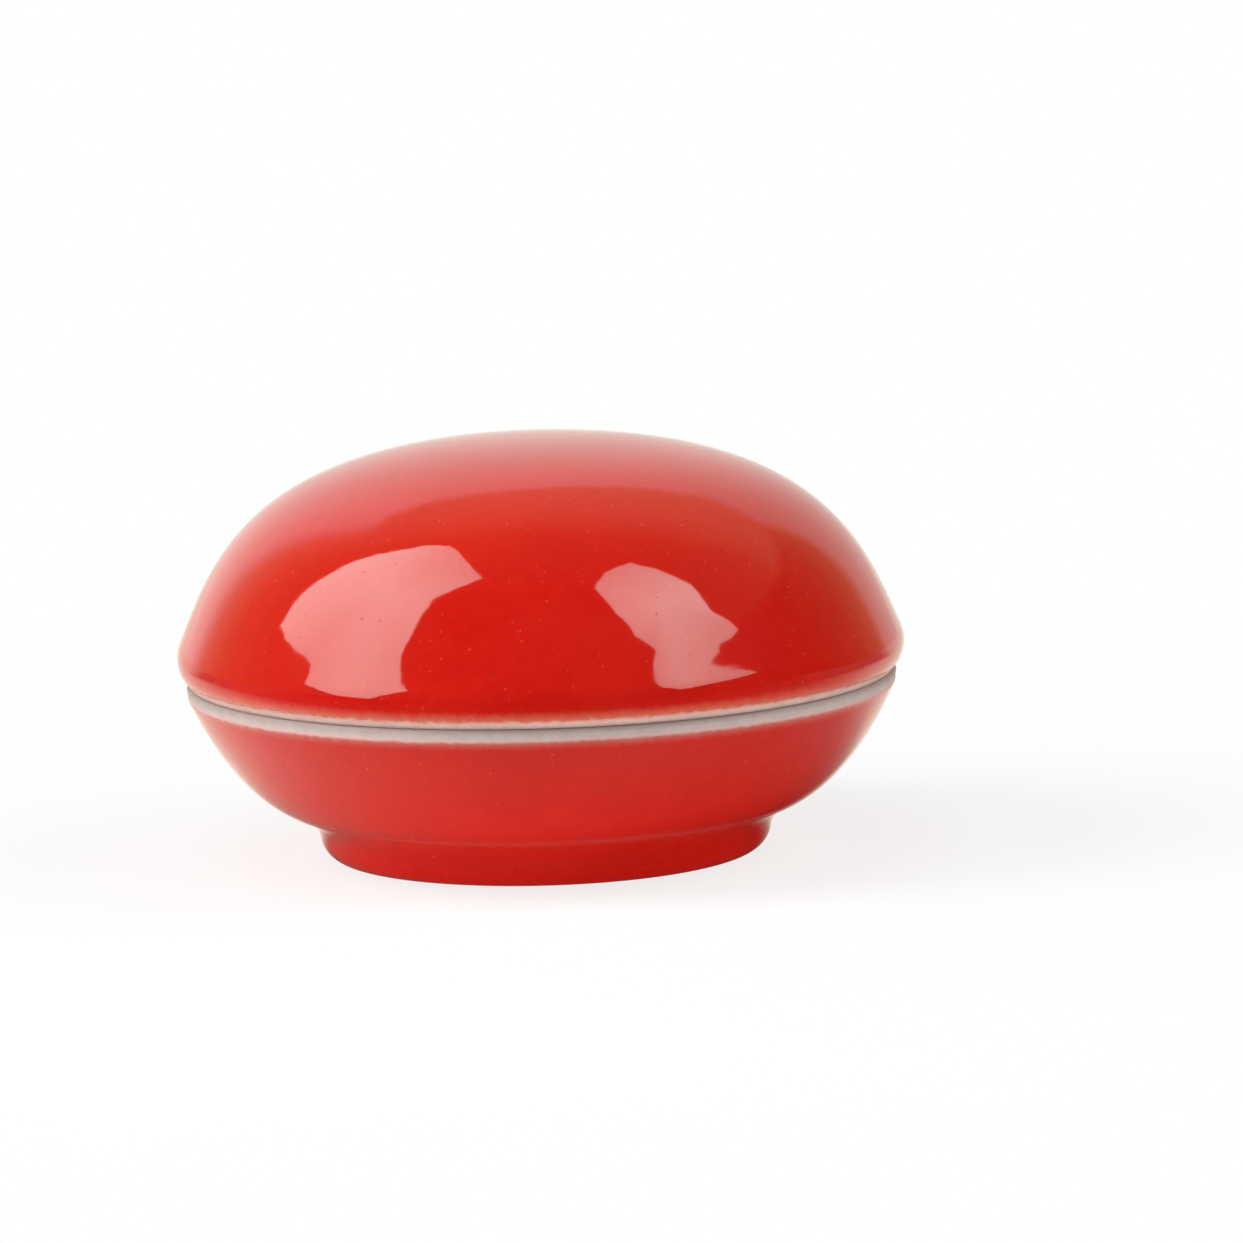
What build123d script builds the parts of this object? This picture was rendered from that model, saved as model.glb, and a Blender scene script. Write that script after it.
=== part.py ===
from build123d import *
import os
from math import cos, radians, sin, tan

# Seal paste box: two thrown porcelain halves, and the paste that they keep.
# Millimetres, +Z up. The origin is the centre of the face that the foot rests on.

# The closed box
width = 65.0
height = 37.5
seam_height = 16.1

# Lid: a dome over a rim that turns in below its widest ring
lid_widest_rise = 2.45
lid_rim_tuck = 1.15
lid_crown_wall = 3.0
lid_flank_lean = 22.0
lid_flank_share = 0.46
lid_crown_share = 0.99
lid_bore_round = 0.4

# Lip: the raised ring inside the bowl's seat that centres the lid
seat_width = 2.8
lip_wall = 1.9
lip_height = 3.1
lip_round_share = 0.42
lip_clearance = 0.4
lip_headroom = 0.8

# Bowl: a bare clay band under the seam, a full belly, and a foot ring
bowl_rim_inset = 0.8
bowl_rim_round = 0.35
bare_band_height = 1.0
belly_lean = 22.0
belly_rim_share = 0.18
belly_foot_share = 0.89
foot_radius = 20.7
foot_height = 4.1
foot_taper = 1.0
foot_edge_round = 2.4
foot_ring_width = 3.5
foot_crease_round = 1.2
foot_recess_depth = 2.4
foot_recess_round = 0.5
floor_thickness = 3.8
floor_bend_width = 9.0

# Seal paste: a low mound, pressed out against the bowl's floor
paste_rim_gap = 3.0
paste_edge_height = 4.5
paste_crown_height = 8.5
paste_gap = 0.4
paste_shoulder_share = 0.6
paste_crown_share = 0.58

# Cuts run past the faces that they open through
overrun = 1.0

box_radius = width / 2
bowl_rim_radius = box_radius - bowl_rim_inset
lip_outer_radius = bowl_rim_radius - seat_width
lip_inner_radius = lip_outer_radius - lip_wall
lip_top_height = seam_height + lip_height
lid_widest_height = seam_height + lid_widest_rise
lid_bore_radius = lip_outer_radius + lip_clearance
lid_bore_height = lip_top_height + lip_headroom
foot_base_radius = foot_radius - foot_taper
foot_recess_radius = foot_base_radius - foot_ring_width
floor_height = foot_recess_depth + floor_thickness
floor_radius = lip_inner_radius - floor_bend_width
paste_radius = lip_inner_radius - paste_rim_gap

os.makedirs("parts", exist_ok=True)


def dome(start, crown_height):
    """Control points of a dome from start, where its flank leans in, to a level crown on the axis."""
    rise = crown_height - start.Y
    drift = rise * tan(radians(lid_flank_lean))
    flank_handle = (start.X - drift * lid_flank_share, start.Y + rise * lid_flank_share)
    crown_handle = ((start.X - drift) * lid_crown_share, crown_height)
    return start, flank_handle, crown_handle, (0, crown_height)


def bowl_hollow(gap):
    """Half section of the hollow inside the bowl, with its wall drawn in by gap."""
    mouth_height = lip_top_height + overrun
    wall_radius = lip_inner_radius - gap
    flat_radius = floor_radius - gap
    bend_height = seam_height - floor_height
    with BuildSketch(Plane.XZ) as hollow_half:
        with BuildLine():
            mouth = Line((0, mouth_height), (wall_radius, mouth_height))
            Line(mouth @ 1, (wall_radius, seam_height))
            EllipticalCenterArc(
                (flat_radius, seam_height), floor_bend_width, bend_height, start_angle=0, arc_size=-90
            )
            flat = Line((flat_radius, floor_height), (0, floor_height))
            Line(flat @ 1, mouth @ 0)
        make_face()
    return hollow_half.sketch


# Bowl. The half section is turned solid first, then the lip is raised on its seat.
belly_drop = seam_height - bare_band_height - foot_height
belly_drift = belly_drop * tan(radians(belly_lean))
belly_corner_radius = bowl_rim_radius - belly_drift
belly_rim_handle = (
    bowl_rim_radius - belly_drift * belly_rim_share,
    seam_height - bare_band_height - belly_drop * belly_rim_share,
)
belly_foot_handle = (
    foot_radius + (belly_corner_radius - foot_radius) * belly_foot_share,
    foot_height,
)
with BuildPart() as bowl:
    with BuildSketch(Plane.XZ):
        with BuildLine():
            seat = Line((0, seam_height), (bowl_rim_radius, seam_height))
            band = Line(seat @ 1, (bowl_rim_radius, seam_height - bare_band_height))
            belly = Bezier(band @ 1, belly_rim_handle, belly_foot_handle, (foot_radius, foot_height))
            foot_wall = Line(belly @ 1, (foot_base_radius, 0))
            rest = Line(foot_wall @ 1, (0, 0))
            Line(rest @ 1, seat @ 0)
        make_face()
    revolve(axis=Axis.Z)
    fillet(bowl.faces().sort_by(Axis.Z)[-1].edges(), radius=bowl_rim_round)
    fillet(bowl.faces().sort_by(Axis.Z)[0].edges(), radius=foot_edge_round)
    crease_low = foot_height - foot_crease_round
    crease_high = foot_height + foot_crease_round
    crease = bowl.edges().filter_by(GeomType.CIRCLE).filter_by_position(Axis.Z, crease_low, crease_high)
    fillet(crease, radius=foot_crease_round)

    # Raised lip, and the hollow that runs down inside it to the floor
    with BuildSketch(Plane.XY.offset(seam_height)):
        Circle(lip_outer_radius)
    extrude(amount=lip_height)
    revolve(bowl_hollow(gap=0), axis=Axis.Z, mode=Mode.SUBTRACT)
    fillet(bowl.faces().sort_by(Axis.Z)[-1].edges(), radius=lip_wall * lip_round_share)

    # Recess that leaves the foot as a ring
    with BuildSketch(Plane.XY):
        Circle(foot_recess_radius)
    extrude(amount=foot_recess_depth, mode=Mode.SUBTRACT)
    recess_edge = bowl.faces().sort_by(Axis.Z)[0].edges().sort_by(SortBy.RADIUS)[0]
    fillet(recess_edge, radius=foot_recess_round)
bowl.part.label = "bowl"
export_step(bowl.part, "parts/bowl.step")

# Lid. The rim's arc passes through the widest ring and runs on until the flank leans in.
rim_arc_radius = (lid_widest_rise**2 + lid_rim_tuck**2) / (2 * lid_rim_tuck)
flank_start = (
    box_radius - rim_arc_radius * (1 - cos(radians(lid_flank_lean))),
    lid_widest_height + rim_arc_radius * sin(radians(lid_flank_lean)),
)
with BuildPart() as lid:
    with BuildSketch(Plane.XZ):
        with BuildLine():
            rim_face = Line((0, seam_height), (box_radius - lid_rim_tuck, seam_height))
            rim = ThreePointArc(rim_face @ 1, (box_radius, lid_widest_height), flank_start)
            outside = Bezier(*dome(rim @ 1, height))
            Line(outside @ 1, rim_face @ 0)
        make_face()
    revolve(axis=Axis.Z)

    # Bore that goes round the lip, and the vault above it
    with BuildSketch(Plane.XZ):
        with BuildLine():
            opening = Line((0, seam_height - overrun), (lid_bore_radius, seam_height - overrun))
            bore = Line(opening @ 1, (lid_bore_radius, lid_bore_height))
            vault = Bezier(*dome(bore @ 1, height - lid_crown_wall))
            Line(vault @ 1, opening @ 0)
        make_face()
    revolve(axis=Axis.Z, mode=Mode.SUBTRACT)
    bore_edge = lid.faces().sort_by(Axis.Z)[0].edges().sort_by(SortBy.RADIUS)[0]
    fillet(bore_edge, radius=lid_bore_round)
lid.part.label = "lid"
export_step(lid.part, "parts/lid.step")

# Seal paste. A plain mound, trimmed to the bowl's hollow with a small gap.
paste_edge_top = floor_height + paste_edge_height
paste_crown_top = floor_height + paste_crown_height
paste_shoulder_handle = (
    paste_radius,
    paste_edge_top + (paste_crown_height - paste_edge_height) * paste_shoulder_share,
)
paste_crown_handle = (paste_radius * paste_crown_share, paste_crown_top)
with BuildPart() as seal_paste:
    with BuildSketch(Plane.XZ):
        with BuildLine():
            base = Line((0, floor_height), (paste_radius, floor_height))
            side = Line(base @ 1, (paste_radius, paste_edge_top))
            top = Bezier(side @ 1, paste_shoulder_handle, paste_crown_handle, (0, paste_crown_top))
            Line(top @ 1, base @ 0)
        make_face()
    revolve(axis=Axis.Z)
    revolve(bowl_hollow(gap=paste_gap), axis=Axis.Z, mode=Mode.INTERSECT)
seal_paste.part.label = "seal_paste"
export_step(seal_paste.part, "parts/seal_paste.step")
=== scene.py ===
from math import asin, atan2, cos, degrees, hypot, pi, radians, sin, tan

import bmesh
import bpy
import numpy as np
from mathutils import Matrix, Vector, noise


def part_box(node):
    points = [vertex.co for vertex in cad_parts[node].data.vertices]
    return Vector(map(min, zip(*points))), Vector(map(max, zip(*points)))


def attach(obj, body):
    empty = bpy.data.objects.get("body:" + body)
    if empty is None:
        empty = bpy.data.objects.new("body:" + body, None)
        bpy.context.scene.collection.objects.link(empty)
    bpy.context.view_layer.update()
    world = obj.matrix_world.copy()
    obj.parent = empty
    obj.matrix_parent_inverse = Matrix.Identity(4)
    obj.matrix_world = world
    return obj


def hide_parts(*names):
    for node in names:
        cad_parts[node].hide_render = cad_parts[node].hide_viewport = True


# Seal paste box: two glazed porcelain halves and the paste between them. Metres, +Z up.
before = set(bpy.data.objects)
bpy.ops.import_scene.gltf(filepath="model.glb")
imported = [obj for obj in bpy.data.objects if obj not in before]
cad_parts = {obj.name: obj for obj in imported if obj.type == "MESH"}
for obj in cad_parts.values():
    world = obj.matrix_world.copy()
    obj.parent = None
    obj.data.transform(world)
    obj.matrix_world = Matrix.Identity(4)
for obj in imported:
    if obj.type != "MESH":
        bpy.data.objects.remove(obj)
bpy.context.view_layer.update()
lid_low, lid_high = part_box("lid")
bowl_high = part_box("bowl")[1]
box_radius = lid_high.x
box_height = lid_high.z
seam_height = lid_low.z
bowl_rim_radius = bowl_high.x
lip_top_height = bowl_high.z


# Camera. It stands far off and a little above the box, tipped by under two degrees, and looks
# to the right of the box's axis, so the box hardly tapers and stands left of the middle.
camera_distance = 1.0
camera_rise = radians(8.73)
camera_tip = radians(1.68)
picture_width = 0.11106
sensor_width = 36.0
look_height = 0.018
aim_right = 0.00721
aim_up = 0.00277

level_forward = Vector((0, cos(camera_rise), -sin(camera_rise)))
level_up = Vector((0, sin(camera_rise), cos(camera_rise)))
level_right = Vector((1, 0, 0))
picture_right = level_right * cos(camera_tip) - level_up * sin(camera_tip)
picture_up = level_right * sin(camera_tip) + level_up * cos(camera_tip)
look_point = Vector((0, 0, look_height))
aim_point = look_point + picture_right * aim_right + picture_up * aim_up
camera_place = look_point - level_forward * camera_distance
camera_back = (camera_place - aim_point).normalized()
camera_right = (picture_right - camera_back * picture_right.dot(camera_back)).normalized()
camera_up = camera_back.cross(camera_right)

camera_data = bpy.data.cameras.new("camera")
camera_data.sensor_width = sensor_width
camera_data.lens = sensor_width * camera_distance / picture_width
camera = bpy.data.objects.new("camera", camera_data)
turn = Matrix((camera_right, camera_up, camera_back)).transposed()
camera.matrix_world = Matrix.Translation(camera_place) @ turn.to_4x4()
bpy.context.scene.collection.objects.link(camera)
bpy.context.scene.camera = camera
bpy.context.scene.view_settings.view_transform = "Standard"


# Studio. What the glaze mirrors and what lights it are set apart, as with polarised lamps: two soft
# boxes, a black flag and a dim room with a pale back wall are only mirrored, and broad lamps only
# light. Each is placed by its direction: degrees round from the camera, to the right, and degrees up.
card_distance = 2.0
soft_box_tint = (0.8, 1.0, 0.93)
left_soft_box = [
    (-104.5, 25.5, 5.0), (-106, 29.5, 5.2), (-107.6, 35.4, 5.5), (-109.5, 44, 5.9), (-112, 52, 6.3),
    (-114.5, 60, 6.0), (-118.6, 66.3, 5.2), (-118, 71.5, 4.3), (-82.6, 74.7, 4.0), (-41.8, 69, 4.2),
    (-48, 62, 5.2), (-52.7, 55, 5.7), (-52, 49, 5.9), (-50.5, 43, 5.7), (-50.6, 38.7, 5.6),
    (-51.0, 35.4, 5.3), (-49.8, 32.0, 5.0), (-45.4, 28.0, 4.8), (-46.6, 24.0, 4.7), (-49.5, 15.5, 4.6),
    (-55, 1, 4.6), (-67, 3.2, 4.6), (-78.9, 17.6, 4.4), (-84, 22.9, 4.3), (-84.3, 25.3, 4.3),
    (-92, 24.9, 4.6), (-100, 24.7, 4.8),
]
right_soft_box = [
    (32, 63, 4.3), (49, 69, 3.7), (73, 69, 3.9), (76, 62, 4.7), (75, 51, 6.0), (71, 41, 5.9),
    (76, 31, 3.6), (77, 26, 2.8), (58, 17, 3.0), (44, 9, 3.3), (39, 20, 3.5), (39, 33, 3.7),
    (42, 36, 4.0), (37, 41, 4.6), (33, 50, 4.7),
]
left_soft_box_heart = (-75, 52, 6.5)
right_soft_box_heart = (56, 48, 6.3)
flag = [(86, 32, 0.05), (60, 31, 0.05), (86, 20.5, 0.05)]
flag_heart = (78, 28, 0.05)
flag_share = 0.97
lamp_distance = 1.6
lamp_width = 1.0
lamps = {
    "key_lamp": (-80, 38, 0.79),
    "fill_lamp": (85, 42, 0.36),
    "front_lamp": (0, 40, 0.08),
    "front_left_lamp": (-40, 25, 0.10),
    "front_right_lamp": (40, 25, 0.14),
    "top_lamp": (-45, 72, 0.24),
}
room_light = 0.1
room_brightest = 1.3
room_low = [
    (0.0, 0.005), (0.1, 0.01), (0.19, 0.18), (0.29, 0.22), (0.34, 0.35), (0.378, 0.6), (0.406, 1.2),
    (0.44, 1.2), (0.49, 0.96), (0.556, 0.88), (0.602, 0.84), (0.62, 0.4), (0.656, 0.22), (0.72, 0.05),
    (1.0, 0.005),
]
room_over = [(0.27, 0.025), (0.42, 0.16), (0.5, 0.2), (0.6, 0.27), (0.675, 0.47), (0.75, 0.56)]
room_dim_tint = (1.1, 1.0, 0.52)
room_bright_tint = (1.0, 1.0, 0.94)
room_bright_from = (0.3, 1.0)
wall_top = (0.665, 0.735)
wall_top_slope = 0.17


def place(tree, kind, inputs=(), **settings):
    """Adds a node. Each input is a number to set, or another node's output to link."""
    made = tree.nodes.new(kind)
    for name, value in settings.items():
        setattr(made, name, value)
    for key, value in dict(inputs).items():
        if isinstance(value, bpy.types.NodeSocket):
            tree.links.new(value, made.inputs[key])
        else:
            made.inputs[key].default_value = value
    return made


def sums(tree, operation, *values):
    """Output of a Math node on one, two or three values."""
    return place(tree, "ShaderNodeMath", dict(enumerate(values)), operation=operation).outputs[0]


def ramp(tree, value, low, high, start=0.0, end=1.0):
    """Output that goes smoothly from start to end as value goes from low to high."""
    return place(tree, "ShaderNodeMapRange", {
        "Value": value, "From Min": low, "From Max": high, "To Min": start, "To Max": end,
    }, interpolation_type="SMOOTHSTEP").outputs[0]


def stops_along(tree, value, stops):
    """Colour output that passes through the stops, each a place from 0 to 1 and a colour."""
    made = place(tree, "ShaderNodeValToRGB", {0: value})
    elements = made.color_ramp.elements
    while len(elements) > 1:
        elements.remove(elements[-1])
    for number, (spot, colour) in enumerate(stops):
        element = elements[0] if number == 0 else elements.new(spot)
        element.position = spot
        element.color = (*colour, 1)
    return made.outputs[0]


def blend_colours(tree, share, first, second):
    """Colour output that goes from first to second as share goes from zero to one."""
    made = place(tree, "ShaderNodeMix", {"Factor": share}, data_type="RGBA")
    for key, value in (("A", first), ("B", second)):
        socket = [s for s in made.inputs if s.name == key and s.type == "RGBA"][0]
        if isinstance(value, bpy.types.NodeSocket):
            tree.links.new(value, socket)
        else:
            socket.default_value = (*value, 1)
    return [s for s in made.outputs if s.type == "RGBA"][0]


def direction(around, up):
    """Unit vector from the box, by degrees round from the camera to the right, and degrees up."""
    level = cos(radians(up))
    return Vector((sin(radians(around)) * level, -cos(radians(around)) * level, sin(radians(up))))


def glow_card(name, corners, heart, far):
    """A glowing panel that only the box mirrors. Its corners and heart are directions, with a strength."""
    stops = [heart, *corners]
    rays = [direction(around, up) for around, up, strength in stops]
    facing = sum(rays, Vector()).normalized()
    points = [ray * (far / ray.dot(facing)) for ray in rays]
    count = len(corners)
    mesh = bpy.data.meshes.new(name)
    mesh.from_pydata(points, [], [(0, 1 + i, 1 + (i + 1) % count) for i in range(count)])
    glow = mesh.attributes.new("glow", "FLOAT", "POINT")
    glow.data.foreach_set("value", [strength for around, up, strength in stops])
    panel = bpy.data.objects.new(name, mesh)
    bpy.context.scene.collection.objects.link(panel)
    panel.visible_camera = False
    panel.visible_diffuse = False
    panel.visible_shadow = False
    material = bpy.data.materials.new(name)
    material.use_nodes = True
    tree = material.node_tree
    tree.nodes.clear()
    strength = place(tree, "ShaderNodeAttribute", attribute_name="glow").outputs["Fac"]
    light = place(tree, "ShaderNodeEmission", {"Color": (*soft_box_tint, 1), "Strength": strength})
    place(tree, "ShaderNodeOutputMaterial", {"Surface": light.outputs[0]})
    mesh.materials.append(material)


glow_card("left_soft_box", left_soft_box, left_soft_box_heart, card_distance)
glow_card("right_soft_box", right_soft_box, right_soft_box_heart, card_distance)
glow_card("flag", flag, flag_heart, card_distance * flag_share)

for name, (around, up, brightness) in lamps.items():
    light = bpy.data.lights.new(name, "AREA")
    light.shape = "DISK"
    light.size = lamp_width
    light.energy = brightness * (pi * lamp_distance) ** 2
    lamp = bpy.data.objects.new(name, light)
    lamp.visible_glossy = False
    aim = direction(around, up)
    lamp_turn = aim.to_track_quat("Z", "Y").to_matrix().to_4x4()
    lamp.matrix_world = Matrix.Translation(aim * lamp_distance) @ lamp_turn
    bpy.context.scene.collection.objects.link(lamp)

world = bpy.data.worlds.new("studio_room")
world.use_nodes = True
bpy.context.scene.world = world
tree = world.node_tree
tree.nodes.clear()
ray = place(tree, "ShaderNodeLightPath").outputs
facing = place(tree, "ShaderNodeTexCoord").outputs["Generated"]
side = place(tree, "ShaderNodeSeparateXYZ", {0: facing}).outputs
around = sums(tree, "ARCTAN2", side["X"], side["Y"])
turned = sums(tree, "MULTIPLY_ADD", around, 0.5 / pi, 0.5)
back = sums(tree, "MULTIPLY_ADD", side["Y"], 0.5, 0.5)
raised = sums(tree, "MULTIPLY_ADD", side["X"], wall_top_slope, side["Z"])
low_room = stops_along(tree, turned, [(spot, (level / room_brightest,) * 3) for spot, level in room_low])
over_room = stops_along(tree, back, [(spot, (level / room_brightest,) * 3) for spot, level in room_over])
room = blend_colours(tree, ramp(tree, raised, *wall_top), low_room, over_room)
room_level = sums(tree, "MULTIPLY", room, room_brightest)
room_tint = blend_colours(tree, ramp(tree, room_level, *room_bright_from), room_dim_tint, room_bright_tint)
seen = sums(tree, "MAXIMUM", ray["Is Camera Ray"], ray["Is Transmission Ray"])
plain = sums(tree, "MAXIMUM", sums(tree, "MULTIPLY", sums(tree, "SUBTRACT", 1.0, seen), room_light), seen)
mirrored = place(tree, "ShaderNodeBackground", {"Color": room_tint, "Strength": room_level})
plainly = place(tree, "ShaderNodeBackground", {"Strength": plain})
glow = place(tree, "ShaderNodeMixShader", {
    0: ray["Is Glossy Ray"], 1: plainly.outputs[0], 2: mirrored.outputs[0],
})
place(tree, "ShaderNodeOutputWorld", {"Surface": glow.outputs[0]})
world.cycles.sampling_method = "NONE"


# Floor: white paper, whose own light brings it to plain white for the camera, and which keeps the
# box's soft shadow near the foot. For the glaze's reflections only, its glow is a painted pool of light
# that reaches from behind the box to just in front of it, with painted shade round the foot and a
# painted shadow to the right. Near the foot the paper also glows, painted light on the bowl's underside.
floor_size = 6.0
floor_drop = 0.0001
floor_white = 0.88
shown_white = 0.2
shown_fill = 0.78
shadow_reach = (0.07, 0.16)
# Painted light: the paper glows near the foot to light the bowl's underside
under_glow = 0.42
under_glow_reach = (0.025, 0.06)
mirrored_white = 1.03
mirrored_tint = (1.0, 1.0, 0.86)
# Painted shade round the foot and a painted shadow to the right, seen only in the glaze's reflections
mirrored_under = (0.018, 0.046)
mirrored_under_dark = 0.04
mirrored_under_spot = (0.004, 0.0, 0.0)
pool_behind = 0.06
pool_edge = (0.078, 0.122)
beyond_pool = 0.25
beyond_pool_from = (-0.1, 0.03)
far_back = (0.6, 1.35)
back_from = 0.018
least_across = 0.001
side_shadow_spot = (0.04, -0.012, 0.0)
side_shadow_reach = (0.008, 0.042)
side_shadow_dark = 0.48

mesh = bpy.data.meshes.new("floor")
half = floor_size / 2
floor_corners = ((-half, -half), (half, -half), (half, half), (-half, half))
mesh.from_pydata([(x, y, -floor_drop) for x, y in floor_corners], [], [(0, 1, 2, 3)])
floor = bpy.data.objects.new("floor", mesh)
bpy.context.scene.collection.objects.link(floor)
paper = bpy.data.materials.new("white_paper")
paper.use_nodes = True
mesh.materials.append(paper)
tree = paper.node_tree
tree.nodes.clear()
ray = place(tree, "ShaderNodeLightPath").outputs
seen = sums(tree, "MAXIMUM", ray["Is Camera Ray"], ray["Is Transmission Ray"])
where = place(tree, "ShaderNodeTexCoord").outputs["Object"]
side = place(tree, "ShaderNodeSeparateXYZ", {0: where}).outputs
distance = place(tree, "ShaderNodeVectorMath", {0: where}, operation="LENGTH").outputs["Value"]
far = ramp(tree, distance, *shadow_reach)
paper_face = place(tree, "ShaderNodeBsdfDiffuse", {"Color": (*(floor_white,) * 3, 1)})
shown_paper = place(tree, "ShaderNodeBsdfDiffuse", {"Color": (*(shown_white,) * 3, 1)})
near_fill = place(tree, "ShaderNodeEmission", {"Strength": shown_fill})
near_face = place(tree, "ShaderNodeAddShader", {0: shown_paper.outputs[0], 1: near_fill.outputs[0]})
white_glow = place(tree, "ShaderNodeEmission", {"Strength": 1.0})
shown_face = place(tree, "ShaderNodeMixShader", {0: far, 1: near_face.outputs[0], 2: white_glow.outputs[0]})
# Painted light: glow near the foot, seen by diffuse rays, fills the shade under the bowl
near_glow = place(tree, "ShaderNodeEmission", {
    "Strength": ramp(tree, distance, *under_glow_reach, under_glow, 0.0),
})
lighting_face = place(tree, "ShaderNodeAddShader", {0: paper_face.outputs[0], 1: near_glow.outputs[0]})
# Painted reflection for glossy rays: a pool of light, painted shade round the foot and a painted shadow to
# the right
from_pool = place(tree, "ShaderNodeVectorMath", {0: where, 1: (0.0, pool_behind, 0.0)}, operation="DISTANCE")
beyond = ramp(tree, side["Y"], *beyond_pool_from, 0.0, beyond_pool)
across = sums(tree, "MAXIMUM", sums(tree, "ABSOLUTE", side["X"]), least_across)
back_share = sums(tree, "DIVIDE", sums(tree, "ADD", side["Y"], back_from), across)
backward = ramp(tree, back_share, *far_back)
behind = sums(tree, "MULTIPLY", backward, mirrored_white)
in_pool = ramp(tree, from_pool.outputs["Value"], *pool_edge, mirrored_white, 0.0)
# Painted shade: the mirrored paper darkens round the foot
from_spot = place(tree, "ShaderNodeVectorMath", {0: where, 1: mirrored_under_spot}, operation="DISTANCE")
from_foot = ramp(tree, from_spot.outputs["Value"], *mirrored_under, mirrored_under_dark, 1.0)
from_foot = sums(tree, "MAXIMUM", from_foot, backward)
# Painted shadow: the mirrored paper darkens to the right of the box
from_shadow = place(tree, "ShaderNodeVectorMath", {0: where, 1: side_shadow_spot}, operation="DISTANCE")
unshadowed = ramp(tree, from_shadow.outputs["Value"], *side_shadow_reach, side_shadow_dark, 1.0)
mirror_strength = sums(tree, "MAXIMUM", sums(tree, "MAXIMUM", in_pool, beyond), behind)
mirror_strength = sums(tree, "MULTIPLY", sums(tree, "MULTIPLY", mirror_strength, from_foot), unshadowed)
mirrored_face = place(tree, "ShaderNodeEmission", {
    "Color": (*mirrored_tint, 1), "Strength": mirror_strength,
})
lit_face = place(tree, "ShaderNodeMixShader", {
    0: ray["Is Glossy Ray"], 1: lighting_face.outputs[0], 2: mirrored_face.outputs[0],
})
face = place(tree, "ShaderNodeMixShader", {0: seen, 1: lit_face.outputs[0], 2: shown_face.outputs[0]})
place(tree, "ShaderNodeOutputMaterial", {"Surface": face.outputs[0]})
paper.cycles.emission_sampling = "NONE"


# Bowl. The lower half is thrown and trimmed porcelain with a foot ring and a raised lip. It is
# glazed red outside and clear inside, and left as bare clay where the two halves meet, on the lip
# and under the foot, so that it can be fired on its foot and the lid sits true.
seat_width = 0.0028
lip_wall = 0.0019
lip_round = 0.0008
lip_root_round = 0.0002
rim_round = 0.00035
bare_band_height = 0.001
belly_lean = 22.0
belly_rim_share = 0.18
belly_foot_share = 0.89
foot_radius = 0.0207
foot_height = 0.0041
foot_taper = 0.001
foot_edge_round = 0.0024
foot_ring_width = 0.0035
foot_crease_round = 0.0019
foot_inner_round = 0.0005
recess_depth = 0.0024
recess_corner_round = 0.0004
floor_thickness = 0.0038
floor_bend_width = 0.009
curve_share = 0.55
outline_step = 0.0005
fine_step = 0.00018
flat_step = 0.0015
fewest_steps = 4
turning_steps = 400
weld_distance = 0.000002
unevenness = 0.00008
unevenness_scale = 60.0
bare_sink = 0.00007
sink_fade = 0.0003
sink_reach = 0.001
bowl_wall_fade = 0.002
foot_wipe_height = 0.0002
lip_glaze_drop = 0.0015
pool_reach = 0.0015
pool_rise = 0.0002


def line_points(start, end, step=outline_step):
    """Points along a straight stretch of an outline, both ends included."""
    count = max(1, round(hypot(end[0] - start[0], end[1] - start[1]) / step))
    shares = np.linspace(0, 1, count + 1)[:, None]
    return np.array(start) * (1 - shares) + np.array(end) * shares


def arc_points(centre, radii, start, end, step=outline_step):
    """Points along an arc or a part of an ellipse, from one angle to another, in degrees."""
    count = max(fewest_steps, round(max(radii) * abs(radians(end - start)) / step))
    angles = np.radians(np.linspace(start, end, count + 1))
    return np.array(centre) + np.array(radii) * np.stack([np.cos(angles), np.sin(angles)], axis=1)


def way_along(points):
    """The way along a row of points to each of them, in metres."""
    return np.concatenate([[0], np.cumsum(np.hypot(*np.diff(points, axis=0).T))])


def bezier_points(start, first, second, end, step=outline_step):
    """Points along a curve with two handles, evenly spaced."""
    t = np.linspace(0, 1, 2001)[:, None]
    fine = (1 - t) ** 3 * np.array(start) + 3 * (1 - t) ** 2 * t * np.array(first)
    fine = fine + 3 * (1 - t) * t**2 * np.array(second) + t**3 * np.array(end)
    way = way_along(fine)
    count = max(fewest_steps, round(way[-1] / step))
    even = np.linspace(0, way[-1], count + 1)
    return np.stack([np.interp(even, way, fine[:, 0]), np.interp(even, way, fine[:, 1])], axis=1)


def join_stretches(stretches):
    """All points of an outline, the way along it to each, and the way to where each stretch ends."""
    points = [stretches[next(iter(stretches))][:1]]
    ends = {}
    for name, stretch in stretches.items():
        points.append(stretch[1:])
        joined = np.concatenate(points)
        ends[name] = way_along(joined)[-1]
    return joined, way_along(joined), ends


def within(way, start, end):
    """How far inside a stretch of the outline each point lies, in metres: below zero outside it."""
    return np.minimum(way - start, end - way)


def add_socket(tree, name, kind, way="INPUT"):
    """Names one value that goes into a node tree, or comes out of it."""
    return tree.interface.new_socket(name, in_out=way, socket_type=f"NodeSocket{kind}")


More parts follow.
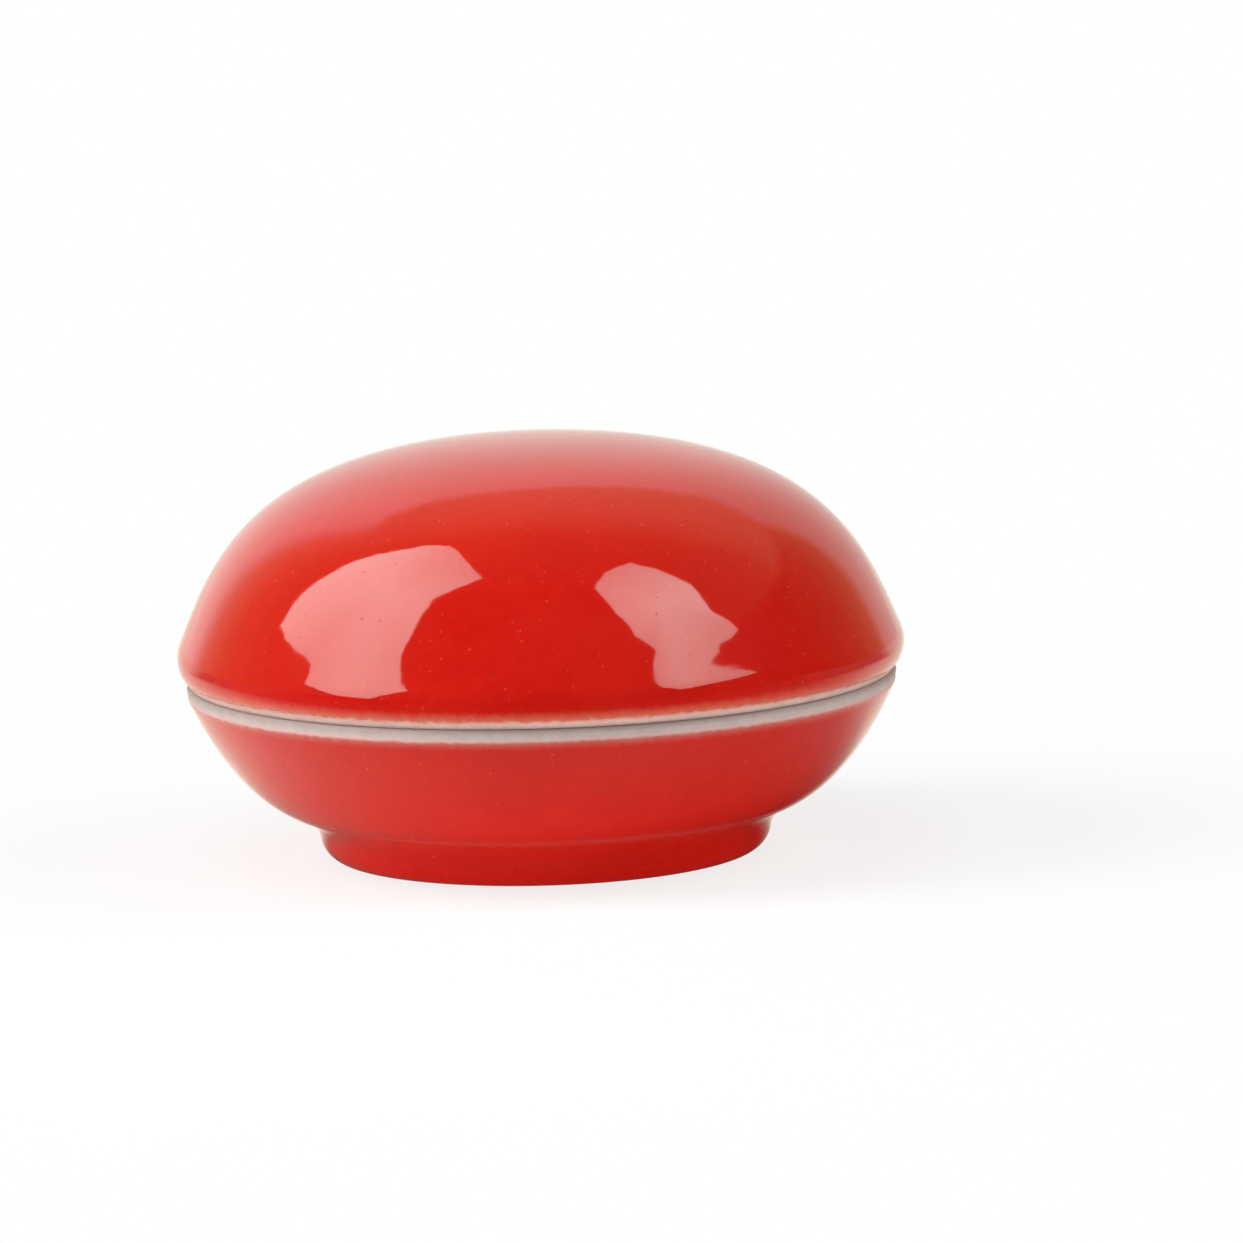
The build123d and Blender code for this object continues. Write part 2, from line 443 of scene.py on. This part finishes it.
def wheel_tree():
    """Geometry nodes that turn an outline into a pot, as the wheel does, a little unevenly."""
    tree = bpy.data.node_groups.new("potters_wheel", "GeometryNodeTree")
    add_socket(tree, "Outline", "Geometry")
    add_socket(tree, "Steps", "Int")
    for name in (
        "Radius", "Unevenness", "Unevenness Scale", "Edge Scale", "Edge Raggedness",
        "Glaze Thickness", "Seed",
    ):
        add_socket(tree, name, "Float")
    add_socket(tree, "Finish", "Material")
    add_socket(tree, "Pot", "Geometry", "OUTPUT")
    given = place(tree, "NodeGroupInput").outputs
    inward = sums(tree, "MULTIPLY", given["Radius"], -1.0)
    shift = place(tree, "ShaderNodeCombineXYZ", {"X": inward}).outputs[0]
    strand = place(tree, "GeometryNodeMeshToCurve", {"Mesh": given["Outline"]})
    outline = place(tree, "GeometryNodeTransform", {
        "Geometry": strand.outputs[0], "Translation": shift, "Rotation": (pi / 2, 0, 0),
    })
    ring = place(tree, "GeometryNodeCurvePrimitiveCircle", {
        "Resolution": given["Steps"], "Radius": given["Radius"],
    })
    upright = place(tree, "GeometryNodeSetCurveNormal", {"Curve": ring.outputs[0]})
    upright.mode = "Z_UP"
    swept = place(tree, "GeometryNodeCurveToMesh", {
        "Curve": upright.outputs[0], "Profile Curve": outline.outputs[0],
    })
    merged = place(tree, "GeometryNodeMergeByDistance", {
        "Geometry": swept.outputs[0], "Distance": weld_distance,
    })
    closed = place(tree, "GeometryNodeFlipFaces", {"Mesh": merged.outputs[0]})
    where = place(tree, "GeometryNodeInputPosition").outputs[0]
    normal = place(tree, "GeometryNodeInputNormal").outputs[0]
    away = place(tree, "ShaderNodeCombineXYZ", {"X": given["Seed"]}).outputs[0]
    moved = place(tree, "ShaderNodeVectorMath", {0: where, 1: away}, operation="ADD").outputs[0]
    slow = place(tree, "ShaderNodeTexNoise", {
        "Vector": moved, "Scale": given["Unevenness Scale"], "Detail": 1.0,
    })
    free, reach, sink = (
        place(tree, "GeometryNodeInputNamedAttribute", {"Name": mark}, data_type="FLOAT").outputs[0]
        for mark in ("free_wall", "red_reach", "bare_sink")
    )
    uneven = sums(tree, "MULTIPLY", sums(tree, "MULTIPLY", slow.outputs[0], given["Unevenness"]), free)
    edge = place(tree, "ShaderNodeTexNoise", {
        "Vector": moved, "Scale": given["Edge Scale"], "Detail": 2.0,
    })
    centred = sums(tree, "SUBTRACT", edge.outputs[0], 0.5)
    ragged = sums(tree, "MULTIPLY_ADD", centred, given["Edge Raggedness"], reach)
    bare = ramp(tree, ragged, 0.0, glaze_edge_width, 1.0, 0.0)
    sunk = sums(tree, "MULTIPLY", sums(tree, "MULTIPLY", bare, sink), given["Glaze Thickness"])
    depth = sums(tree, "MULTIPLY", sums(tree, "ADD", uneven, sunk), -1.0)
    offset = place(tree, "ShaderNodeVectorMath", {0: normal, "Scale": depth}, operation="SCALE").outputs[0]
    shaped = place(tree, "GeometryNodeSetPosition", {"Geometry": closed.outputs[0], "Offset": offset})
    smooth = place(tree, "GeometryNodeSetShadeSmooth", {"Geometry": shaped.outputs[0]})
    real = place(tree, "GeometryNodeRealizeInstances", {"Geometry": smooth.outputs[0]})
    finished = place(tree, "GeometryNodeSetMaterial", {
        "Geometry": real.outputs[0], "Material": given["Finish"],
    })
    place(tree, "NodeGroupOutput", {0: finished.outputs[0]})
    return tree


def turn_pot(name, points, marks, settings):
    """Turns an outline on the wheel tree. Marks are values stored at its points for the glaze."""
    mesh = bpy.data.meshes.new(name + "_outline")
    rows = [(r, 0, z) for r, z in points]
    mesh.from_pydata(rows, [(i, i + 1) for i in range(len(rows) - 1)], [])
    for mark, values in marks.items():
        stored = mesh.attributes.new(mark, "FLOAT", "POINT")
        stored.data.foreach_set("value", np.array(values, np.float32))
    draft = bpy.data.objects.new(name + "_outline", mesh)
    bpy.context.scene.collection.objects.link(draft)
    wheel = draft.modifiers.new("wheel", "NODES")
    wheel.node_group = bpy.data.node_groups.get("potters_wheel") or wheel_tree()
    for socket in wheel.node_group.interface.items_tree:
        if socket.name in settings:
            wheel[socket.identifier] = settings[socket.name]
    ready = draft.evaluated_get(bpy.context.evaluated_depsgraph_get())
    pot_mesh = bpy.data.meshes.new_from_object(ready)
    draft.modifiers.remove(wheel)
    bpy.data.objects.remove(draft)
    shape = bmesh.new()
    shape.from_mesh(pot_mesh)
    bmesh.ops.recalc_face_normals(shape, faces=shape.faces)
    shape.to_mesh(pot_mesh)
    shape.free()
    pot_mesh.name = name
    pot = bpy.data.objects.new(name, pot_mesh)
    bpy.context.scene.collection.objects.link(pot)
    return pot


# Porcelain finish. Red glaze thins to orange and pink at its edge and ends in bare, matt clay;
# under a clear glaze the clay shows white. Specks and pinholes are fired into the red. Bare clay
# near the seam is darkened with painted shade.
red_glaze = (0.56, 0.0088, 0.0050)
red_glaze_bright = (0.60, 0.0120, 0.0064)
cloud_scale = 90.0
cloud_reach = (0.3, 0.7)
mottle_scale = 900.0
mottle_share = 0.5
speck_cell_scale = 1300.0
speck_size = (0.06, 0.18)
speck_edge = 0.05
pale_picked = (0.0, 0.9)
dark_picked = (0.86, 0.94)
speck_pale = (0.74, 0.08, 0.042)
speck_dark = (0.22, 0.008, 0.006)
pale_strength = 0.6
dark_strength = 0.5
# Milky pooled glaze in the crease, paler partly as a painted soft highlight
milky_glaze_highlight = (0.64, 0.050, 0.038)
milky_highlight_strength = 0.55
pink_reach = (-0.0003, 0.00002)
deep_from = 0.6
clay_grain_scale = 1600.0
clay_patch_scale = 700.0
clay_patch_reach = (0.38, 0.62)
dull_clay_share = 0.94
pale_clay_share = 1.03
# Painted shade on the bare clay by the seam: from about 0.3 to 3.4 mm beyond the red's edge, darkest at 1 to
# 1.6 mm
painted_shade_reach = (-0.0010, -0.0003)
painted_shade_fade = (-0.0034, -0.0016)
clear_glazed_clay = (0.80, 0.79, 0.75)
glaze_edge_scale = 1300.0
glaze_edge_width = 0.0003
glaze_step_width = 0.0004
glaze_step_height = 0.00005
ripple_scale = 260.0
peel_height = (0.000024, 0.000004)
peel_fade = (0.0, 0.6)
pinhole_depth = 0.00003
grain_height = 0.00003
gloss_roughness = (0.035, 0.065)
pooled_roughness = 0.45
clay_roughness = 0.75


def noise_on(tree, where, scale, detail):
    """Output of a noise that goes from zero to one over the piece."""
    return place(tree, "ShaderNodeTexNoise", {"Vector": where, "Scale": scale, "Detail": detail}).outputs[0]


def between(tree, share, limits):
    """Output that goes evenly from the first limit to the second as share goes from zero to one."""
    return place(tree, "ShaderNodeMapRange", {
        "Value": share, "To Min": limits[0], "To Max": limits[1],
    }).outputs[0]


def porcelain(name, edge_raggedness, seed, bare_clay, painted_shade_clay, glaze_run, thin_width):
    """Glazed and bare porcelain in one material, told apart by the marks stored on the pot."""
    material = bpy.data.materials.new(name)
    material.use_nodes = True
    tree = material.node_tree
    tree.nodes.clear()
    where = place(tree, "ShaderNodeTexCoord").outputs["Object"]
    moved = place(tree, "ShaderNodeVectorMath", {0: where, 1: (seed, 0, 0)}, operation="ADD").outputs[0]
    reach = place(tree, "ShaderNodeAttribute", attribute_name="red_reach").outputs["Fac"]
    clear_reach = place(tree, "ShaderNodeAttribute", attribute_name="clear_reach").outputs["Fac"]
    centred = sums(tree, "SUBTRACT", noise_on(tree, moved, glaze_edge_scale, 2.0), 0.5)
    ragged = sums(tree, "MULTIPLY_ADD", centred, edge_raggedness, reach)
    clear_ragged = sums(tree, "MULTIPLY_ADD", centred, edge_raggedness, clear_reach)

    # Body of the red glaze: slow clouds, and fine mottling
    clouds = noise_on(tree, moved, cloud_scale, 3.0)
    mottle = noise_on(tree, moved, mottle_scale, 2.0)
    cloudy = sums(tree, "MULTIPLY_ADD", sums(tree, "SUBTRACT", mottle, 0.5), mottle_share, clouds)
    body = blend_colours(tree, ramp(tree, cloudy, *cloud_reach), red_glaze, red_glaze_bright)

    # Specks: one voronoi cell in a few holds a pale or a dark dot, each of its own size
    cells = place(tree, "ShaderNodeTexVoronoi", {"Vector": moved, "Scale": speck_cell_scale})
    picked = place(tree, "ShaderNodeSeparateColor", {0: cells.outputs["Color"]}).outputs
    size = between(tree, picked[2], speck_size)
    inside = sums(tree, "SUBTRACT", size, cells.outputs["Distance"])
    dot = ramp(tree, inside, 0.0, speck_edge)
    pale = sums(tree, "MULTIPLY", dot, ramp(tree, picked[0], *pale_picked))
    dark = sums(tree, "MULTIPLY", dot, ramp(tree, picked[1], *dark_picked))
    body = blend_colours(tree, sums(tree, "MULTIPLY", pale, pale_strength), body, speck_pale)
    body = blend_colours(tree, sums(tree, "MULTIPLY", dark, dark_strength), body, speck_dark)

    # Where the glaze pools in the crease, fine bubbles turn it milky; the paler colour there is also a
    # painted soft highlight
    pooled = place(tree, "ShaderNodeAttribute", attribute_name="pooled").outputs["Fac"]
    body = blend_colours(tree, sums(tree, "MULTIPLY", pooled, milky_highlight_strength), body, milky_glaze_highlight)

    # The edge of the red, from deep to thin, to pink, to clay
    run = stops_along(tree, sums(tree, "DIVIDE", ragged, thin_width), glaze_run)
    deep = ramp(tree, ragged, thin_width * deep_from, thin_width)
    pink = ramp(tree, ragged, *pink_reach)
    patchy = noise_on(tree, moved, clay_patch_scale, 3.0)
    dull_clay = tuple(part * dull_clay_share for part in bare_clay)
    pale_clay = tuple(part * pale_clay_share for part in bare_clay)
    clay = blend_colours(tree, ramp(tree, patchy, *clay_patch_reach), dull_clay, pale_clay)
    # Painted shade: bare clay 0.3 to 3.4 mm beyond the red's edge, by the seam, is darkened towards the
    # painted-shade clay
    painted_shade_out = ramp(tree, ragged, *painted_shade_reach, 1.0, 0.0)
    painted_shade_in = ramp(tree, ragged, *painted_shade_fade)
    clay = blend_colours(tree, sums(tree, "MULTIPLY", painted_shade_out, painted_shade_in), clay, painted_shade_clay)
    clear = ramp(tree, clear_ragged, 0.0, glaze_step_width)
    colour = blend_colours(tree, clear, clay, clear_glazed_clay)
    colour = blend_colours(tree, pink, colour, run)
    colour = blend_colours(tree, deep, colour, body)

    # Gloss: glass where there is glaze, matt where the clay is bare
    glazed = sums(tree, "MAXIMUM", ramp(tree, ragged, 0.0, glaze_edge_width), clear)
    ripple = noise_on(tree, moved, ripple_scale, 2.0)
    gloss = between(tree, ripple, gloss_roughness)
    soft_gloss = sums(tree, "MULTIPLY_ADD", pooled, pooled_roughness, gloss)
    rough = place(tree, "ShaderNodeMix", {"Factor": glazed, "A": clay_roughness, "B": soft_gloss}).outputs[0]

    # Relief: orange peel and pinholes in the glaze, grain in the clay, and the glaze's own rounded edge
    peel = sums(tree, "MULTIPLY", ripple, ramp(tree, pooled, *peel_fade, *peel_height))
    holes = sums(tree, "MULTIPLY", dark, -pinhole_depth)
    glass_relief = sums(tree, "MULTIPLY", sums(tree, "ADD", peel, holes), glazed)
    grainy = sums(tree, "MULTIPLY", sums(tree, "SUBTRACT", 1.0, glazed), grain_height)
    grain = sums(tree, "MULTIPLY", noise_on(tree, moved, clay_grain_scale, 4.0), grainy)
    rounded = sums(tree, "MULTIPLY", ramp(tree, ragged, 0.0, glaze_step_width), glaze_step_height)
    relief = sums(tree, "ADD", sums(tree, "ADD", glass_relief, grain), rounded)
    bump = place(tree, "ShaderNodeBump", {"Height": relief, "Distance": 1.0, "Strength": 1.0}).outputs[0]

    shader = place(tree, "ShaderNodeBsdfPrincipled", {
        "Base Color": colour, "Roughness": rough, "Normal": bump, "IOR": 1.5,
    })
    place(tree, "ShaderNodeOutputMaterial", {"Surface": shader.outputs[0]})
    return material


# The bowl's own finish, its outline from the axis round the foot and the lip and back, and its marks
bowl_clay = (0.53, 0.435, 0.40)
# Painted shade: the darker clay colour is for the bare band and rim by the seam
bowl_painted_shade_clay = (0.37, 0.28, 0.255)
bowl_glaze_run = [
    (0.0, (0.72, 0.42, 0.39)), (0.17, (0.60, 0.22, 0.195)), (0.33, (0.57, 0.09, 0.072)),
    (0.6, (0.58, 0.035, 0.024)), (0.9, (0.57, 0.014, 0.008)),
]
bowl_thin_width = 0.0012
bowl_edge_raggedness = 0.0003
bowl_seed = 3.0
lip_outer_radius = bowl_rim_radius - seat_width
lip_inner_radius = lip_outer_radius - lip_wall
band_bottom = seam_height - bare_band_height
foot_base_radius = foot_radius - foot_taper
recess_radius = foot_base_radius - foot_ring_width
floor_height = recess_depth + floor_thickness
floor_radius = lip_inner_radius - floor_bend_width

belly_drop = band_bottom - foot_height
belly_drift = belly_drop * tan(radians(belly_lean))
belly = bezier_points(
    (foot_radius, foot_height),
    (foot_radius + (bowl_rim_radius - belly_drift - foot_radius) * belly_foot_share, foot_height),
    (bowl_rim_radius - belly_drift * belly_rim_share, band_bottom - belly_drop * belly_rim_share),
    (bowl_rim_radius, band_bottom),
)
belly = belly[belly[:, 0] > foot_radius + foot_crease_round]
belly_way = (belly[1] - belly[0]) / hypot(*(belly[1] - belly[0]))
wall_lean = degrees(atan2(foot_taper, foot_height))
wall_out = np.array([cos(radians(wall_lean)), -sin(radians(wall_lean))])
wall_up = np.array([sin(radians(wall_lean)), cos(radians(wall_lean))])
foot_edge_centre_radius = (
    foot_base_radius - foot_edge_round * (1 - sin(radians(wall_lean))) / cos(radians(wall_lean))
)
foot_edge_centre = np.array([foot_edge_centre_radius, foot_edge_round])
foot_wall_start = foot_edge_centre + wall_out * foot_edge_round
crease = np.array([foot_radius, foot_height])
foot_wall_end = crease - wall_up * foot_crease_round

bowl_outline = {
    "recess_roof": line_points(
        (0, recess_depth), (recess_radius - recess_corner_round, recess_depth), flat_step,
    ),
    "recess_corner": arc_points(
        (recess_radius - recess_corner_round, recess_depth - recess_corner_round),
        (recess_corner_round, recess_corner_round), 90, 0, fine_step,
    ),
    "recess_wall": line_points(
        (recess_radius, recess_depth - recess_corner_round), (recess_radius, foot_inner_round),
    ),
    "foot_inner_edge": arc_points(
        (recess_radius + foot_inner_round, foot_inner_round),
        (foot_inner_round, foot_inner_round), 180, 270, fine_step,
    ),
    "foot_rest": line_points((recess_radius + foot_inner_round, 0), (foot_edge_centre_radius, 0)),
    "foot_outer_edge": arc_points(
        foot_edge_centre, (foot_edge_round, foot_edge_round), -90, -wall_lean, fine_step,
    ),
    "foot_wall": line_points(foot_wall_start, foot_wall_end),
    "crease": bezier_points(
        foot_wall_end, foot_wall_end + wall_up * foot_crease_round * curve_share,
        belly[0] - belly_way * foot_crease_round * curve_share, belly[0], fine_step,
    ),
    "belly": belly,
    "band": line_points(
        (bowl_rim_radius, band_bottom), (bowl_rim_radius, seam_height - rim_round), fine_step,
    ),
    "rim": arc_points(
        (bowl_rim_radius - rim_round, seam_height - rim_round), (rim_round, rim_round), 0, 90, fine_step,
    ),
    "seat": line_points(
        (bowl_rim_radius - rim_round, seam_height), (lip_outer_radius + lip_root_round, seam_height),
    ),
    "lip_root": arc_points(
        (lip_outer_radius + lip_root_round, seam_height + lip_root_round),
        (lip_root_round, lip_root_round), 270, 180, fine_step,
    ),
    "lip_outside": line_points(
        (lip_outer_radius, seam_height + lip_root_round), (lip_outer_radius, lip_top_height - lip_round),
    ),
    "lip_outer_edge": arc_points(
        (lip_outer_radius - lip_round, lip_top_height - lip_round),
        (lip_round, lip_round), 0, 90, fine_step,
    ),
    "lip_inner_edge": arc_points(
        (lip_inner_radius + lip_round, lip_top_height - lip_round),
        (lip_round, lip_round), 90, 180, fine_step,
    ),
    "inner_wall": line_points(
        (lip_inner_radius, lip_top_height - lip_round), (lip_inner_radius, seam_height),
    ),
    "floor_bend": arc_points(
        (floor_radius, seam_height), (floor_bend_width, seam_height - floor_height), 0, -90,
    ),
    "floor": line_points((floor_radius, floor_height), (0, floor_height), flat_step),
}
points, way, ends = join_stretches(bowl_outline)
red_start = ends["foot_rest"] + foot_wipe_height
red_end = ends["belly"]
outside = within(way, ends["foot_outer_edge"], ends["band"])
crease_way = ends["crease"] + pool_rise
clear_below = within(way, -1.0, ends["recess_wall"] - foot_inner_round)
clear_inside = within(way, ends["lip_inner_edge"] + lip_glaze_drop, ends["floor"] + 1.0)
bowl_marks = {
    "red_reach": within(way, red_start, red_end),
    "clear_reach": np.maximum(clear_below, clear_inside),
    "free_wall": np.clip(outside / bowl_wall_fade, 0, 1),
    "bare_sink": np.clip(within(way, red_end - sink_reach, ends["band"]) / sink_fade, 0, 1),
    "pooled": np.clip(1 - np.abs(way - crease_way) / pool_reach, 0, 1),
}
bowl_glaze = porcelain(
    "bowl_glaze", bowl_edge_raggedness, bowl_seed, bowl_clay, bowl_painted_shade_clay, bowl_glaze_run,
    bowl_thin_width,
)
bowl = turn_pot("bowl_porcelain", points, bowl_marks, {
    "Steps": turning_steps, "Radius": box_radius,
    "Unevenness": unevenness, "Unevenness Scale": unevenness_scale,
    "Edge Scale": glaze_edge_scale, "Edge Raggedness": bowl_edge_raggedness,
    "Glaze Thickness": bare_sink, "Seed": bowl_seed, "Finish": bowl_glaze,
})
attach(bowl, "box")
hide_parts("bowl")


# Seal paste. Ground cinnabar, oil and plant fibre, kneaded into a stiff lump and pressed out over
# the bowl's floor. It keeps the folds of the spatula that stirred it.
paste_low, paste_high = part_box("seal_paste")
paste_radius = paste_high.x
paste_edge_height = 0.0045
paste_edge_round = 0.0012
paste_shoulder_share = 0.6
paste_crown_share = 0.58
paste_outline_share = 1.25
paste_foot_radius = 0.018
paste_bend = (0.0205, 0.0066)
paste_side_height = 0.0098
paste_corner_height = 0.0088
fold_turns = 2.6
fold_depth = 0.0015
fold_slope = 2.2
fold_face = 6
fold_end = 1.02
fold_sides = 280
groove_count = 7
groove_depth = 0.00009
groove_start = 3
lumps = ((160, 0.0003), (420, 0.00014))
top_sink = 0.0001
paste_rings = 90
paste_red = (0.60, 0.020, 0.010)
paste_deep = (0.48, 0.011, 0.006)
paste_pale = (0.68, 0.045, 0.020)
warp_scale = 300.0
fibre_bend = (0.004, 0.004, 0.004)
fibre_scale = 700.0
fibre_reach = (0.6, 0.72)
fibre_strength = 0.5
fibre_stretch = (1.0, 6.0, 6.0)
fibre_turn = (0, 0, 0.7)
fibre_height = 0.00008
clot_scale = 420.0
clot_reach = (0.35, 0.65)
clot_height = 0.0002
paste_roughness = (0.38, 0.6)

paste_edge_top = paste_low.z + paste_edge_height
paste_rise = paste_high.z - paste_edge_top
paste_section = bezier_points(
    (0, paste_high.z),
    (paste_radius * paste_crown_share, paste_high.z),
    (paste_radius, paste_edge_top + paste_rise * paste_shoulder_share),
    (paste_radius, paste_edge_top),
    paste_radius * paste_outline_share / paste_rings,
)
paste_under = (
    (paste_radius, paste_side_height), (paste_radius - paste_edge_round, paste_corner_height),
    paste_bend, (paste_foot_radius, paste_low.z),
)

mesh = bmesh.new()
rings = []
crown = mesh.verts.new((0, 0, paste_high.z - fold_depth * 0.5))
for radius, height in paste_section[1:]:
    ring = []
    share = radius / paste_radius
    for side in range(fold_sides):
        angle = 2 * pi * side / fold_sides
        phase = (angle / (2 * pi) + fold_turns * share) % 1.0
        fold = fold_depth * (1 - phase) ** fold_slope * min(1.0, fold_face * phase)
        fold = fold * sin(pi * min(1.0, share * fold_end)) ** 0.5
        spot = Vector((radius * cos(angle), radius * sin(angle), height))
        lump = sum(noise.noise(spot * scale) * tall for scale, tall in lumps)
        groove = groove_depth * (1 + sin(2 * pi * groove_count * phase)) * min(1.0, groove_start * share)
        top = height - (fold + groove) - abs(lump) - top_sink
        ring.append(mesh.verts.new((spot.x, spot.y, top)))
    rings.append(ring)
for radius, height in paste_under:
    ring = []
    for side in range(fold_sides):
        angle = 2 * pi * side / fold_sides
        ring.append(mesh.verts.new((radius * cos(angle), radius * sin(angle), height)))
    rings.append(ring)
under = mesh.verts.new((0, 0, paste_low.z))
for side in range(fold_sides):
    after = (side + 1) % fold_sides
    mesh.faces.new((crown, rings[0][side], rings[0][after]))
    mesh.faces.new((under, rings[-1][after], rings[-1][side]))
    for inner, outer in zip(rings, rings[1:]):
        mesh.faces.new((inner[side], outer[side], outer[after], inner[after]))
bmesh.ops.recalc_face_normals(mesh, faces=mesh.faces)
paste_mesh = bpy.data.meshes.new("seal_paste_lump")
mesh.to_mesh(paste_mesh)
mesh.free()
paste_mesh.shade_smooth()
paste = bpy.data.objects.new("seal_paste_lump", paste_mesh)
bpy.context.scene.collection.objects.link(paste)

paste_finish = bpy.data.materials.new("seal_paste")
paste_finish.use_nodes = True
tree = paste_finish.node_tree
tree.nodes.clear()
where = place(tree, "ShaderNodeTexCoord").outputs["Object"]
warp = place(tree, "ShaderNodeTexNoise", {
    "Vector": where, "Scale": warp_scale, "Detail": 2.0,
}).outputs["Color"]
bent = place(tree, "ShaderNodeVectorMath", {
    0: warp, 1: fibre_bend, 2: where,
}, operation="MULTIPLY_ADD").outputs[0]
stretched = place(tree, "ShaderNodeMapping", {
    "Vector": bent, "Scale": fibre_stretch, "Rotation": fibre_turn,
}).outputs[0]
fibres = noise_on(tree, stretched, fibre_scale, 3.0)
clots = noise_on(tree, where, clot_scale, 5.0)
colour = blend_colours(tree, ramp(tree, clots, *clot_reach), paste_deep, paste_red)
fibre_share = sums(tree, "MULTIPLY", ramp(tree, fibres, *fibre_reach), fibre_strength)
colour = blend_colours(tree, fibre_share, colour, paste_pale)
rough = between(tree, clots, paste_roughness)
height = sums(tree, "MULTIPLY_ADD", fibres, fibre_height, sums(tree, "MULTIPLY", clots, clot_height))
bump = place(tree, "ShaderNodeBump", {"Height": height, "Distance": 1.0, "Strength": 1.0}).outputs[0]
shader = place(tree, "ShaderNodeBsdfPrincipled", {
    "Base Color": colour, "Roughness": rough, "Normal": bump, "IOR": 1.4,
    "Coat Weight": 0.12, "Coat Roughness": 0.2,
})
place(tree, "ShaderNodeOutputMaterial", {"Surface": shader.outputs[0]})
paste_mesh.materials.append(paste_finish)
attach(paste, "box")
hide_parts("seal_paste")


# Lid. The upper half is a thrown dome whose rim turns in under its widest ring. Its bore goes
# round the bowl's lip, and its flat rim is bare clay, like the seat that it stands on.
lid_widest_rise = 0.00245
lid_rim_tuck = 0.00115
lid_crown_wall = 0.003
lid_flank_lean = 22.0
lid_flank_share = 0.46
lid_crown_share = 0.99
lid_bore_round = 0.0004
lid_rim_round = 0.00012
lip_clearance = 0.0004
lip_headroom = 0.0008
lid_glaze_rise = 0.00062
lid_wall_fade = 0.003
bore_glaze_drop = 0.0012
crown_gap = 0.0014
lid_clay = (0.74, 0.50, 0.44)
# Painted shade: the darker clay colour is for the lid's bare rim by the seam
lid_painted_shade_clay = (0.50, 0.36, 0.33)
lid_glaze_run = [
    (0.0, (0.76, 0.36, 0.29)), (0.1, (0.70, 0.22, 0.155)), (0.26, (0.62, 0.11, 0.064)),
    (0.6, (0.62, 0.045, 0.023)), (0.9, (0.58, 0.014, 0.0075)),
]
lid_thin_width = 0.0014
lid_edge_raggedness = 0.0006
lid_seed = 11.0
lid_bore_radius = lip_outer_radius + lip_clearance
lid_bore_height = lip_top_height + lip_headroom
lid_widest_height = seam_height + lid_widest_rise
rim_arc_radius = (lid_widest_rise**2 + lid_rim_tuck**2) / (2 * lid_rim_tuck)
rim_arc_centre = np.array([box_radius - rim_arc_radius, lid_widest_height])


def dome_points(start, crown_height, step=outline_step):
    """A dome from start, where its flank leans in, to a level crown on the axis."""
    rise = crown_height - start[1]
    drift = rise * tan(radians(lid_flank_lean))
    flank = (start[0] - drift * lid_flank_share, start[1] + rise * lid_flank_share)
    crown = ((start[0] - drift) * lid_crown_share, crown_height)
    curve = bezier_points(start, flank, crown, (0, crown_height), step)
    return np.concatenate([curve[curve[:, 0] > crown_gap], [(0, crown_height)]])


rim_start_angle = -degrees(asin(lid_widest_rise / rim_arc_radius))
rim_round_angle = degrees(lid_rim_round / rim_arc_radius)
rim = arc_points(
    rim_arc_centre, (rim_arc_radius, rim_arc_radius),
    rim_start_angle + rim_round_angle, lid_flank_lean, fine_step,
)
rim_edge = np.array([box_radius - lid_rim_tuck, seam_height])
rim_face_end = rim_edge - np.array([lid_rim_round, 0])
lid_outline = {
    "vault": dome_points((lid_bore_radius, lid_bore_height), box_height - lid_crown_wall)[::-1],
    "bore": line_points(
        (lid_bore_radius, lid_bore_height), (lid_bore_radius, seam_height + lid_bore_round),
    ),
    "bore_edge": arc_points(
        (lid_bore_radius + lid_bore_round, seam_height + lid_bore_round),
        (lid_bore_round, lid_bore_round), 180, 270, fine_step,
    ),
    "rim_face": line_points((lid_bore_radius + lid_bore_round, seam_height), rim_face_end),
    "rim_edge": bezier_points(rim_face_end, rim_edge, rim_edge, rim[0], fine_step),
    "rim": rim,
    "dome": dome_points(tuple(rim[-1]), box_height),
}
points, way, ends = join_stretches(lid_outline)
red_start = np.interp(seam_height + lid_glaze_rise, rim[:, 1], ends["rim_edge"] + way_along(rim))
lid_marks = {
    "red_reach": within(way, red_start, ends["dome"] + 1.0),
    "clear_reach": within(way, -1.0, ends["bore"] - bore_glaze_drop),
    "free_wall": np.clip((way - red_start) / lid_wall_fade, 0, 1),
    "bare_sink": np.clip(within(way, ends["rim_edge"], red_start + sink_reach) / sink_fade, 0, 1),
}
lid_glaze = porcelain(
    "lid_glaze", lid_edge_raggedness, lid_seed, lid_clay, lid_painted_shade_clay, lid_glaze_run,
    lid_thin_width,
)
lid = turn_pot("lid_porcelain", points, lid_marks, {
    "Steps": turning_steps, "Radius": box_radius,
    "Unevenness": unevenness, "Unevenness Scale": unevenness_scale,
    "Edge Scale": glaze_edge_scale, "Edge Raggedness": lid_edge_raggedness,
    "Glaze Thickness": bare_sink, "Seed": lid_seed, "Finish": lid_glaze,
})
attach(lid, "lid")
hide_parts("lid")
